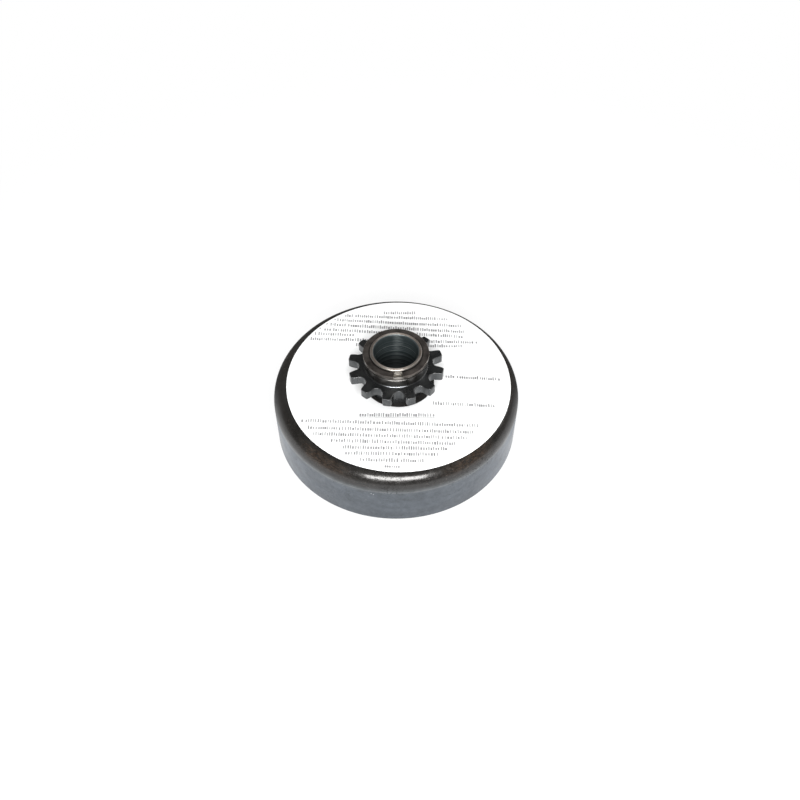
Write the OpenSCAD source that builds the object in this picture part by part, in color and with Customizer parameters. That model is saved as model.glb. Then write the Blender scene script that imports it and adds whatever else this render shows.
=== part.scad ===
// Centrifugal clutch: a pressed drum with a chain sprocket runs on the sleeve of
// a keyed driver hub. Three lined shoes slide on the hub's arms and are held in
// by extension springs. Millimetres. The open rim of the drum lies on z = 0.

/* [Drum] */
// Outside diameter of the drum
drum_od = 108; // [104:0.5:116]
// Height of the drum over its face
drum_h = 28; // [27:0.5:34]
// Thickness of the drum's wall and face
drum_wall = 3; // [2.4:0.1:3.4]
// Outer radius of the drum's shoulder
shoulder_r = 8; // [5:0.5:9]
// Chamfer round the drum's open rim
rim_chamfer = 0.6; // [0.3:0.1:1]

/* [Face label] */
// Outside diameter of the label
label_od = 98; // [88:0.5:99]
// Diameter of the hole in the label
label_hole_d = 31; // [30:0.5:36]
// Thickness of the label
label_t = 0.2; // [0.15:0.05:0.4]
// How far the label was stuck off the drum's axis
label_shift = 1.1; // [0:0.1:1.5]

/* [Sprocket] */
// Number of teeth
teeth = 12; // [12:1:15]
// Pitch of the roller chain
chain_pitch = 9.525; // [9.525:0.1:9.625]
// Diameter of the chain's rollers
roller_d = 5.08; // [4.8:0.02:5.2]
// Thickness of the toothed plate
plate_t = 4.3; // [3.6:0.1:5]
// Height of the neck between the drum's face and the toothed plate
neck_h = 6; // [5:0.1:8]
// Height of the boss over the toothed plate
boss_h = 4.3; // [3:0.1:6]
// Diameter of the neck and of the boss
neck_d = 27; // [26.6:0.1:27.6]
// Direction of the first tooth, in degrees from +X
tooth_turn = 18.8; // [0:0.2:30]
// How far the spigot is rolled out behind the drum's face
lip_w = 1.6; // [0.8:0.1:2.4]
// Thickness of the rolled lip
lip_t = 1.2; // [0.8:0.1:1.6]

/* [Shaft and bearing] */
// Diameter of the shaft that the hub takes
bore_d = 19.05; // [18:0.05:19.2]
// Wall of the hub's sleeve
sleeve_wall = 1.6; // [1.4:0.05:1.7]
// Wall of the bronze bushing
bushing_wall = 1.1; // [0.8:0.05:1.2]
// Running clearance of the bushing on the sleeve, on the radius
run_gap = 0.05; // [0.03:0.01:0.08]
// Width of the key
key_w = 4.8; // [4:0.1:5.2]
// Depth of the keyway past the bore
key_depth = 2.3; // [1.8:0.1:2.6]

/* [Retaining stack] */
// Outside diameter of the retaining ring
ring_od = 28.2; // [26.8:0.1:29]
// Thickness of the retaining ring
ring_t = 1.3; // [1:0.1:1.5]
// Width of the gap in the retaining ring
ring_gap = 3.6; // [2.5:0.1:5]
// Direction of the retaining ring's gap, in degrees from +X
ring_turn = -85.5; // [-180:0.5:180]
// Outside diameter of the thrust washer under the ring
outer_washer_od = 26.2; // [25:0.1:27]
// Outside diameter of the thrust washer inside the drum
inner_washer_od = 33; // [30:0.5:36]
// Thickness of each thrust washer
washer_t = 1.3; // [1:0.1:1.6]
// End play on each side of a thrust washer
end_play = 0.08; // [0.05:0.01:0.15]
// Length of the sleeve past the retaining ring
sleeve_tip = 1; // [0.8:0.1:2]

/* [Hub] */
// Diameter of the hub's core
core_d = 35; // [34:0.5:37]
// Diameter of the collar that takes the set screws
collar_d = 32; // [30:0.5:33]
// Height of the collar's end over the drum's open rim
collar_z = 1; // [0.5:0.1:2]
// Diameter of the tapped holes for the set screws
screw_hole_d = 5.4; // [4.8:0.1:5.6]
// Width of each arm
arm_w = 12; // [10:0.5:14]
// Depth of the step that the guide plate is located on
seat_step = 3.4; // [3:0.1:3.8]
// Depth of the groove for the retaining ring
groove_depth = 0.55; // [0.4:0.05:0.7]

/* [Shoes] */
// Number of shoes
shoes = 3; // [3:1:3]
// Axial width of a shoe and its lining
shoe_w = 11; // [10:0.5:11.5]
// Inner radius of a shoe
shoe_in_r = 21; // [20:0.5:24]
// Angle that a shoe spans, in degrees
shoe_arc = 100; // [92:1:102]
// Thickness of the lining
lining_t = 3; // [2:0.1:4]
// Gap between the lining and the drum with the shoes in
lining_gap = 1.1; // [0.9:0.05:1.4]
// Thickness of a shoe over the end of its arm
crown = 10.65; // [9:0.05:12]
// Clearance between a shoe and the plates over and under it, and the end of its arm
side_gap = 0.25; // [0.2:0.05:0.4]
// Clearance between a shoe and its arm
arm_gap = 0.15; // [0.1:0.05:0.3]

/* [Plates and rivets] */
// Thickness of the plate between the shoes and the drum's face
guide_t = 1; // [0.8:0.1:1.2]
// How far the guide plate reaches past the ends of the arms
guide_over = 0; // [-2:0.5:4]
// Thickness of the plate on the open side
retainer_t = 1.2; // [1:0.1:1.5]
// Distance from the tip of each lobe of the retainer plate to the end of its arm
lobe_inset = 2; // [1:0.5:4]
// How far each lobe is wider than its arm, on each side
lobe_over = 3; // [2:0.5:4]
// Diameter of the retainer plate between its lobes
waist_d = 48; // [44:1:54]
// Diameter of each rivet's shank
rivet_d = 5; // [4:0.1:5.5]
// Diameter of each rivet's head
rivet_head_d = 8.4; // [7.5:0.1:9]
// Height of each rivet's head
rivet_head_h = 1.4; // [1:0.1:1.6]

/* [Springs] */
// Mean diameter of the coils
coil_d = 5.6; // [5:0.1:6]
// Diameter of the spring wire
wire_d = 1.1; // [0.9:0.1:1.2]
// Distance between the turns of a fitted spring
coil_pitch = 1.6; // [1.4:0.05:2]
// Clearance round a spring in its pocket
pocket_gap = 1.1; // [0.9:0.1:1.3]
// Height of a spring's axis over the lower side of the shoes
spring_rise = 4.4; // [4:0.1:5]
// Distance from the back of the lining to the spring pins
pin_depth = 8.9; // [8.5:0.1:10]
// Diameter of the spring pins
pin_d = 2.6; // [2.4:0.1:2.8]
// Angle from the end of a shoe to its spring pin, in degrees
pin_inset = 8.5; // [8:0.5:10]

/* [Hidden] */
$fn = 96;

fit = 0.02;                 // gap of a pressed or laid fit, so that faces do not cross
past = 1;                   // how far a cutter runs past what it cuts
edge = 0.4;                 // small edge chamfer

drum_r = drum_od / 2;
drum_in_r = drum_r - drum_wall;
web_z = drum_h - drum_wall;

bore_r = bore_d / 2;
sleeve_r = bore_r + sleeve_wall;
core_r = core_d / 2;
bushing_in_r = sleeve_r + run_gap;
bushing_r = bushing_in_r + bushing_wall;
neck_r = neck_d / 2;
spigot_r = neck_r - 0.5;

plate_z = drum_h + neck_h;
plate_top = plate_z + plate_t;
boss_top = plate_top + boss_h;
lip_z = web_z - lip_t;

pitch_r = chain_pitch / (2 * sin(180 / teeth));
root_r = pitch_r - roller_d / 2;
tip_r = chain_pitch * (0.6 + 1 / tan(180 / teeth)) / 2;
seat_r = 0.5025 * roller_d + 0.04;

outer_washer_z = boss_top + end_play;
ring_z = outer_washer_z + washer_t + end_play;
groove_r = sleeve_r - groove_depth;
sleeve_end = ring_z + ring_t + sleeve_tip;

inner_washer_top = lip_z - end_play;
hub_top = inner_washer_top - washer_t - end_play;
seat_core_r = core_r - seat_step;
arm_top = hub_top - guide_t;
shoe_top = arm_top - side_gap;
shoe_z = shoe_top - shoe_w;
arm_z = shoe_z - side_gap;
retainer_z = arm_z - retainer_t;
screw_z = collar_z + (retainer_z - collar_z) / 2;

lining_r = drum_in_r - lining_gap;
shoe_r = lining_r - lining_t;
slot_end = shoe_r - crown;
arm_r = slot_end - side_gap;
guide_r = arm_r + guide_over;
lobe_r = arm_r - lobe_inset;
rivet_r = (core_r + arm_r) / 2;
shoe_step = 360 / shoes;
shoe_turn = 90;
gap_half = (shoe_step - shoe_arc) / 2;
pin_r = shoe_r - pin_depth;
pin_angle = gap_half + pin_inset;
spring_dist = pin_r * cos(pin_angle);
spring_half = pin_r * sin(pin_angle);
spring_z = shoe_z + spring_rise;
pocket_w = coil_d + wire_d + 2 * pocket_gap;
pocket_top = spring_z + pocket_w / 2;
pocket_end = spring_half + pin_d / 2 + wire_d + pocket_gap;

pin_neck_r = pin_d / 2 - 0.4;
loop_gap = 0.1;
coil_r = coil_d / 2;
loop_mid = spring_half + pin_neck_r + loop_gap + wire_d / 2 - coil_r;
coil_len = 2 * (loop_mid - coil_r - wire_d / 2);
turns = floor(coil_len / coil_pitch);
loop_from = -100;
loop_to = 205;
loop_steps = 14;
coil_steps = 12;
wire_sides = 8;
pin_z = shoe_z + 0.8;
lining_inset = 1.5;
rivet_tail_h = 0.75 * rivet_head_h;

function way(a) = [cos(a), sin(a)];
function unit(v) = v / norm(v);
function seat_way(k) = way(tooth_turn + (k + 0.5) * 360 / teeth);

// A ring about the z axis.
module ring(r, hole_r, z, h) {
    translate([0, 0, z])
    difference() {
        cylinder(h = h, r = r);
        translate([0, 0, -past]) cylinder(h = h + 2 * past, r = hole_r);
    }
}

// Places its children at shoe i, with the shoe's middle along +X.
module at_shoe(i) {
    rotate([0, 0, shoe_turn + shoe_step * i]) children();
}

// Section of the drum's outside, without its inside.
module cup_section(r, h, corner) {
    square([r - corner, h]);
    square([r, h - corner]);
    translate([r - corner, h - corner])
    intersection() {
        circle(r = corner);
        square([corner + past, corner + past]);
    }
}

module drum() {
    color([0.36, 0.38, 0.4])
    difference() {
        rotate_extrude()
        difference() {
            cup_section(drum_r, drum_h, shoulder_r);
            translate([0, -past])
            cup_section(drum_in_r, web_z + past, shoulder_r - drum_wall);
            polygon([[drum_r - rim_chamfer, 0], [drum_r + past, -past],
                [drum_r + past, rim_chamfer + past], [drum_r, rim_chamfer]]);
        }
        translate([0, 0, web_z - past])
        cylinder(h = drum_wall + 2 * past, r = spigot_r + fit);
    }
}

// The label follows the drum's face and laps a little over its shoulder.
module face_label() {
    color([0.96, 0.96, 0.95])
    intersection() {
        rotate_extrude()
        difference() {
            cup_section(drum_r + fit + label_t, drum_h + fit + label_t, shoulder_r + fit + label_t);
            cup_section(drum_r + fit, drum_h + fit, shoulder_r + fit);
        }
        translate([label_shift, 0, 0])
        ring(label_od / 2, label_hole_d / 2, drum_h - shoulder_r, shoulder_r + past);
    }
}

// The toothed outline. Rollers seat in the gaps, and each flank is the arc that a
// roller swings about its neighbour's seat.
module tooth_plate() {
    step = 360 / teeth;
    swing_r = chain_pitch - seat_r;
    difference() {
        union() {
            polygon([for (k = [0 : teeth - 1]) pitch_r * seat_way(k)]);
            for (k = [0 : teeth - 1])
            intersection() {
                translate(pitch_r * seat_way(k)) circle(r = swing_r);
                translate(pitch_r * seat_way(k + 1)) circle(r = swing_r);
                circle(r = tip_r);
                rotate(tooth_turn + (k + 1) * step)
                translate([root_r - past, -chain_pitch / 2]) square([tip_r, chain_pitch]);
            }
        }
        for (k = [0 : teeth - 1]) translate(pitch_r * seat_way(k)) circle(r = seat_r);
    }
}

module sprocket() {
    color([0.2, 0.2, 0.21])
    difference() {
        union() {
            translate([0, 0, plate_z]) linear_extrude(plate_t) tooth_plate();
            translate([0, 0, drum_h + fit]) cylinder(h = boss_top - edge - drum_h - fit, r = neck_r);
            translate([0, 0, boss_top - edge]) cylinder(h = edge, r1 = neck_r, r2 = neck_r - edge);
            translate([0, 0, lip_z]) cylinder(h = drum_h + past - lip_z, r = spigot_r);
            translate([0, 0, lip_z]) cylinder(h = lip_t - fit, r1 = spigot_r + lip_w / 2, r2 = spigot_r + lip_w);
        }
        translate([0, 0, lip_z - past])
        cylinder(h = boss_top - lip_z + 2 * past, r = bushing_r + fit);
    }
}

module bushing() {
    color([0.72, 0.52, 0.3])
    ring(bushing_r, bushing_in_r, lip_z, boss_top - lip_z);
}

module outer_washer() {
    color([0.45, 0.42, 0.4])
    ring(outer_washer_od / 2, sleeve_r + run_gap, outer_washer_z, washer_t);
}

module inner_washer() {
    color([0.6, 0.58, 0.55])
    ring(inner_washer_od / 2, sleeve_r + run_gap, inner_washer_top - washer_t, washer_t);
}

module retaining_ring() {
    color([0.3, 0.27, 0.25])
    difference() {
        ring(ring_od / 2, groove_r + fit, ring_z, ring_t);
        rotate([0, 0, ring_turn])
        translate([0, -ring_gap / 2, ring_z - past])
        cube([ring_od, ring_gap, ring_t + 2 * past]);
    }
}

module hub() {
    color([0.5, 0.5, 0.52])
    difference() {
        union() {
            rotate_extrude()
            polygon([[bore_r, collar_z], [collar_d / 2 - edge, collar_z], [collar_d / 2, collar_z + edge],
                [collar_d / 2, arm_z], [core_r, arm_z], [core_r, arm_top],
                [seat_core_r, arm_top], [seat_core_r, hub_top], [sleeve_r, hub_top],
                [sleeve_r, ring_z - end_play / 2], [groove_r, ring_z - end_play / 2],
                [groove_r, ring_z + ring_t + end_play / 2], [sleeve_r, ring_z + ring_t + end_play / 2],
                [sleeve_r, sleeve_end - edge], [sleeve_r - edge, sleeve_end], [bore_r, sleeve_end]]);
            for (i = [0 : shoes - 1])
            at_shoe(i)
            translate([core_r - past, -arm_w / 2, arm_z])
            cube([arm_r - core_r + past, arm_w, arm_top - arm_z]);
        }
        translate([0, 0, sleeve_end - edge])
        cylinder(h = edge + 0.01, r1 = bore_r, r2 = bore_r + edge + 0.01);
        translate([0, 0, collar_z - 0.01])
        cylinder(h = edge + 0.01, r1 = bore_r + edge + 0.01, r2 = bore_r);
        keyway();
        set_screw_holes();
        for (i = [0 : shoes - 1])
        at_shoe(i)
        translate([rivet_r, 0, arm_z - past])
        cylinder(h = arm_top - arm_z + 2 * past, r = rivet_d / 2 + fit);
    }
}

// The keyway stops inside the core, below the thin sleeve.
module keyway() {
    translate([-key_w / 2, 0, collar_z - past])
    cube([key_w, bore_r + key_depth, arm_top - collar_z - 1]);
}

// One set screw bears on the key and one on the shaft, a quarter turn on.
module set_screw_holes() {
    for (turn = [90, 0])
    rotate([0, 0, turn])
    translate([bore_r - past, 0, screw_z])
    rotate([0, 90, 0])
    cylinder(h = collar_d / 2 - bore_r + 2 * past, r = screw_hole_d / 2, $fn = 48);
}

module rivet_holes(z, h) {
    for (i = [0 : shoes - 1])
    at_shoe(i)
    translate([rivet_r, 0, z - past])
    cylinder(h = h + 2 * past, r = rivet_d / 2 + fit, $fn = 48);
}

module guide_plate() {
    color([0.55, 0.56, 0.58])
    difference() {
        ring(guide_r, seat_core_r + fit, arm_top + fit, guide_t - fit);
        rivet_holes(arm_top, guide_t);
    }
}

// A three-lobed plate: a round middle with a rounded lobe over each arm.
module retainer_plate() {
    lobe_w = arm_w + 2 * lobe_over;
    color([0.55, 0.56, 0.58])
    difference() {
        translate([0, 0, retainer_z])
        linear_extrude(retainer_t - fit)
        difference() {
            union() {
                circle(r = waist_d / 2);
                for (i = [0 : shoes - 1])
                rotate(shoe_turn + shoe_step * i) {
                    translate([0, -lobe_w / 2]) square([lobe_r - lobe_w / 2, lobe_w]);
                    translate([lobe_r - lobe_w / 2, 0]) circle(r = lobe_w / 2);
                }
            }
            circle(r = collar_d / 2 + fit);
        }
        rivet_holes(retainer_z, retainer_t);
    }
}

module plate_rivets() {
    color([0.62, 0.62, 0.64])
    for (i = [0 : shoes - 1])
    at_shoe(i)
    translate([rivet_r, 0, 0]) {
        translate([0, 0, retainer_z - fit]) mirror([0, 0, 1]) dome(rivet_head_d / 2, rivet_head_h);
        translate([0, 0, retainer_z - rivet_head_h / 2])
        cylinder(h = hub_top - retainer_z + rivet_head_h, r = rivet_d / 2);
        translate([0, 0, hub_top + fit]) dome(rivet_head_d / 2, rivet_tail_h);
    }
}

// A low round head that stands on z = 0.
module dome(r, h) {
    ball_r = (r * r + h * h) / (2 * h);
    intersection() {
        translate([0, 0, h - ball_r]) sphere(r = ball_r);
        cylinder(h = h + past, r = r + past);
    }
}

// A sector of a flat ring, with its middle along +X.
module sector(r_out, r_in, arc) {
    reach = r_out / cos(arc / 8) + past;
    intersection() {
        difference() {
            circle(r = r_out);
            circle(r = r_in);
        }
        polygon(concat([[0, 0]], [for (k = [-2 : 2]) reach * way(k * arc / 4)]));
    }
}

// A shoe straddles its arm, and has a pocket and a pin seat for a spring at each end.
module shoe(i) {
    color([0.42, 0.42, 0.43])
    at_shoe(i)
    difference() {
        translate([0, 0, shoe_z]) linear_extrude(shoe_w) sector(shoe_r, shoe_in_r, shoe_arc);
        translate([0, -arm_w / 2 - arm_gap, shoe_z - past])
        cube([slot_end, arm_w + 2 * arm_gap, shoe_w + 2 * past]);
        for (side = [-1, 1])
        rotate([0, 0, side * shoe_step / 2]) mirror([0, side == 1 ? 1 : 0, 0]) {
            spring_pocket();
            translate([spring_dist, spring_half, pocket_top - past])
            cylinder(h = shoe_top - pocket_top + 2 * past, r = pin_d / 2 + fit, $fn = 48);
        }
    }
}

// Round-ended pocket, open at the end of the shoe and on its lower side.
module spring_pocket() {
    depth = pocket_top - shoe_z + past;
    translate([spring_dist - pocket_w / 2, 0, shoe_z - past])
    cube([pocket_w, pocket_end - pocket_w / 2, depth]);
    translate([spring_dist, pocket_end - pocket_w / 2, shoe_z - past])
    cylinder(h = depth, r = pocket_w / 2);
}

module lining(i) {
    color([0.33, 0.24, 0.17])
    at_shoe(i)
    translate([0, 0, shoe_z])
    linear_extrude(shoe_w)
    sector(lining_r, shoe_r + fit, shoe_arc - 2 * lining_inset);
}

// Grooved pins, pressed into the shoe, that the springs' loops hook round.
module spring_pins(i) {
    neck_z = spring_z - wire_d / 2 - loop_gap;
    neck_top = spring_z + wire_d / 2 + loop_gap;
    color([0.6, 0.6, 0.62])
    at_shoe(i)
    for (side = [-1, 1])
    rotate([0, 0, side * (shoe_step / 2 - pin_angle)])
    translate([pin_r, 0, 0])
    rotate_extrude($fn = 48)
    polygon([[0, pin_z], [pin_d / 2 - 0.3, pin_z], [pin_d / 2, pin_z + 0.3], [pin_d / 2, neck_z - 0.3],
        [pin_neck_r, neck_z], [pin_neck_r, neck_top], [pin_d / 2, neck_top + 0.3],
        [pin_d / 2, shoe_top - 0.3], [pin_d / 2 - 0.3, shoe_top], [0, shoe_top]]);
}

// Path of a spring's wire about its own middle: x along the spring, y outwards.
function coil_point(turn) =
    [coil_len * turn / (360 * turns), coil_r * cos(turn + 90), coil_r * sin(turn + 90)];

// A smooth curve from p to q that leaves along u and arrives along v.
function bend(p, u, q, v, t) =
    (2 * pow(t, 3) - 3 * pow(t, 2) + 1) * p + (pow(t, 3) - 2 * pow(t, 2) + t) * u
    + (3 * pow(t, 2) - 2 * pow(t, 3)) * q + (pow(t, 3) - pow(t, 2)) * v;

function loop_point(a, side) = [loop_mid + coil_r * cos(a), side * coil_r * sin(a), 0];

// The end of the wire, from the last turn into the loop round the pin.
function wire_end(side) =
    let (first = [coil_len / 2, 0, side * coil_r],
        start = loop_point(loop_from, side),
        pull = coil_r * 1.4,
        heading = [-sin(loop_from), side * cos(loop_from), 0])
    concat([for (k = [1 : 4]) bend(first, [0, -side * pull, 0], start, pull * heading, k / 5)],
        [for (k = [0 : loop_steps]) loop_point(loop_from + k * (loop_to - loop_from) / loop_steps, side)]);

function half_turned(points) = [for (k = [len(points) - 1 : -1 : 0])
    [-points[k][0], -points[k][1], points[k][2]]];

function wire_path() =
    let (side = cos(180 * turns), tail = wire_end(side))
    concat(half_turned(tail),
        [for (k = [0 : turns * coil_steps]) coil_point((k / coil_steps - turns / 2) * 360)],
        tail);

// Carries the cross direction v along a path without twisting it.
function across(v, t) = unit(v - (v * t) * t);

// A round wire along a path, as one closed solid.
module wire(path, r, sides) {
    n = len(path);
    ways = [for (k = [0 : n - 1]) unit(path[min(k + 1, n - 1)] - path[max(k - 1, 0)])];
    norms = [for (k = 0, v = across([0, 0, 1], ways[0]); k < n;
        k = k + 1, v = across(v, ways[min(k, n - 1)])) v];
    points = [for (k = [0 : n - 1]) for (j = [0 : sides - 1])
        path[k] + r * (cos(j * 360 / sides) * norms[k] + sin(j * 360 / sides) * cross(ways[k], norms[k]))];
    walls = [for (k = [0 : n - 2]) for (j = [0 : sides - 1])
        let (a = k * sides + j, b = k * sides + (j + 1) % sides)
        each [[a, a + sides, b], [b, a + sides, b + sides]]];
    caps = [[for (j = [0 : sides - 1]) j], [for (j = [sides - 1 : -1 : 0]) (n - 1) * sides + j]];
    polyhedron(points, concat(walls, caps));
}

// An extension spring across the gap that follows shoe i.
module spring(i) {
    color([0.7, 0.71, 0.73])
    rotate([0, 0, shoe_turn + shoe_step * (i + 0.5)])
    translate([spring_dist, 0, spring_z])
    rotate([0, 0, 90])
    mirror([0, 1, 0])
    wire(wire_path(), wire_d / 2, wire_sides);
}

module shoe_1() { shoe(0); }
module shoe_2() { shoe(1); }
module shoe_3() { shoe(2); }
module lining_1() { lining(0); }
module lining_2() { lining(1); }
module lining_3() { lining(2); }
module spring_pins_1() { spring_pins(0); }
module spring_pins_2() { spring_pins(1); }
module spring_pins_3() { spring_pins(2); }
module spring_1() { spring(0); }
module spring_2() { spring(1); }
module spring_3() { spring(2); }

drum();
face_label();
sprocket();
bushing();
outer_washer();
retaining_ring();
inner_washer();
hub();
guide_plate();
retainer_plate();
plate_rivets();
shoe_1();
shoe_2();
shoe_3();
lining_1();
lining_2();
lining_3();
spring_pins_1();
spring_pins_2();
spring_pins_3();
spring_1();
spring_2();
spring_3();
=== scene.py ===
import math
import random
import bpy
import bmesh
from mathutils import Matrix, Vector


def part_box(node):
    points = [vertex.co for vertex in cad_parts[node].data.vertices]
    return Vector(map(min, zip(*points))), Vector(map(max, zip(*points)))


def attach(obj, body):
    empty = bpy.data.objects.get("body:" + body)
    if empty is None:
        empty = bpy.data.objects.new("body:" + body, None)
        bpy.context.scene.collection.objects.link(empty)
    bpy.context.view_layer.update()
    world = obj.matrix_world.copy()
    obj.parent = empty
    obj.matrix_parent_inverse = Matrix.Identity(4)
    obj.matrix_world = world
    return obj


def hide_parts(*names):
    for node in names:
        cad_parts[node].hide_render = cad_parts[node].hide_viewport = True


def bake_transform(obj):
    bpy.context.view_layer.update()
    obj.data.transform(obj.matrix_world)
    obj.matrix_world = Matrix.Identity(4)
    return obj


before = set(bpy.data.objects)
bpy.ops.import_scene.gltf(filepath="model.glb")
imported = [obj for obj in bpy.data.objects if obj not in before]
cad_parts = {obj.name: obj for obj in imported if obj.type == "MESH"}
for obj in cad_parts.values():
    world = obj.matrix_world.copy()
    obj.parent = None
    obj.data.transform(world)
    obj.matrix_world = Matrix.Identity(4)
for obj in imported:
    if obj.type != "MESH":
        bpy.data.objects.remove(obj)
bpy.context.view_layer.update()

MM = 0.001
SEGMENTS = 256

# Sizes in millimetres, as in the CAD source.
drum_r = 54.0
drum_h = 28.0
drum_wall = 3.0
shoulder_r = 8.0
drum_hole_r = 13.02
label_r = 49.0
label_hole_r = 15.5
label_t = 0.2
label_shift = 1.1
label_low = -0.2
label_gap = 0.02
teeth = 12
chain_pitch = 9.525
roller_d = 5.08
tooth_turn = 18.8
plate_z = 34.0
plate_t = 4.3
neck_r = 13.5
plate_top = plate_z + plate_t
boss_top = 42.6
lip_z = 23.8
spigot_r = 13.0
sprocket_bore_r = 12.295
ring_r = 14.1
ring_in_r = 10.595
ring_z = 44.06
ring_t = 1.3
ring_gap = 3.6
ring_turn = -85.5
washer_in_r = 11.2
bushing_in_r = 11.175
shoe_turns = (90.0, 210.0, 330.0)
shoe_step = 120.0
coil_r = 2.8
wire_d = 1.1
spring_z = 14.49
pin_r = 38.0
pin_angle = 18.5
pin_neck_r = 0.9
loop_gap = 0.15
coil_pitch = 1.6

# The label's print: its blocks, the groups they stand in and the gaps between the groups, in mm.
tick_spacing = 0.9
tick_w = 0.8
tick_h = 2.1
tick_t = 0.03
group_lengths = (1.6, 6.5)
group_gaps = (0.95, 1.25)
shortest_group = 0.8
rule_corners = ((-15.4, -21.45), (16.4, -21.65), (16.4, -21.4), (-15.4, -21.2))

# The camera that the photograph fits.
cam_data = bpy.data.cameras.new("camera")
cam_data.lens = 41.12
cam_data.sensor_width = 36.0
camera = bpy.data.objects.new("camera", cam_data)
camera.location = (0.0017, -0.26479, 0.32794)
camera.rotation_euler = (math.radians(40.16), 0.0, 0.0)
bpy.context.scene.collection.objects.link(camera)
bpy.context.scene.camera = camera
bpy.context.scene.view_settings.view_transform = "Standard"


# Materials

def add_node(tree, kind, inputs=None, **settings):
    """A node with its settings, and each input either joined to a socket or given a value."""
    made = tree.nodes.new(kind)
    for key, value in settings.items():
        setattr(made, key, value)
    for key, value in (inputs or {}).items():
        if isinstance(value, bpy.types.NodeSocket):
            tree.links.new(value, made.inputs[key])
        else:
            made.inputs[key].default_value = value
    return made


def set_stops(ramp, stops):
    """Gives a colour ramp its stops, each a place and a colour."""
    marks = ramp.color_ramp.elements
    while len(marks) < len(stops):
        marks.new(0.5)
    for mark, (at, colour) in zip(marks, stops):
        mark.position = at
        mark.color = (*colour, 1.0)


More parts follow.
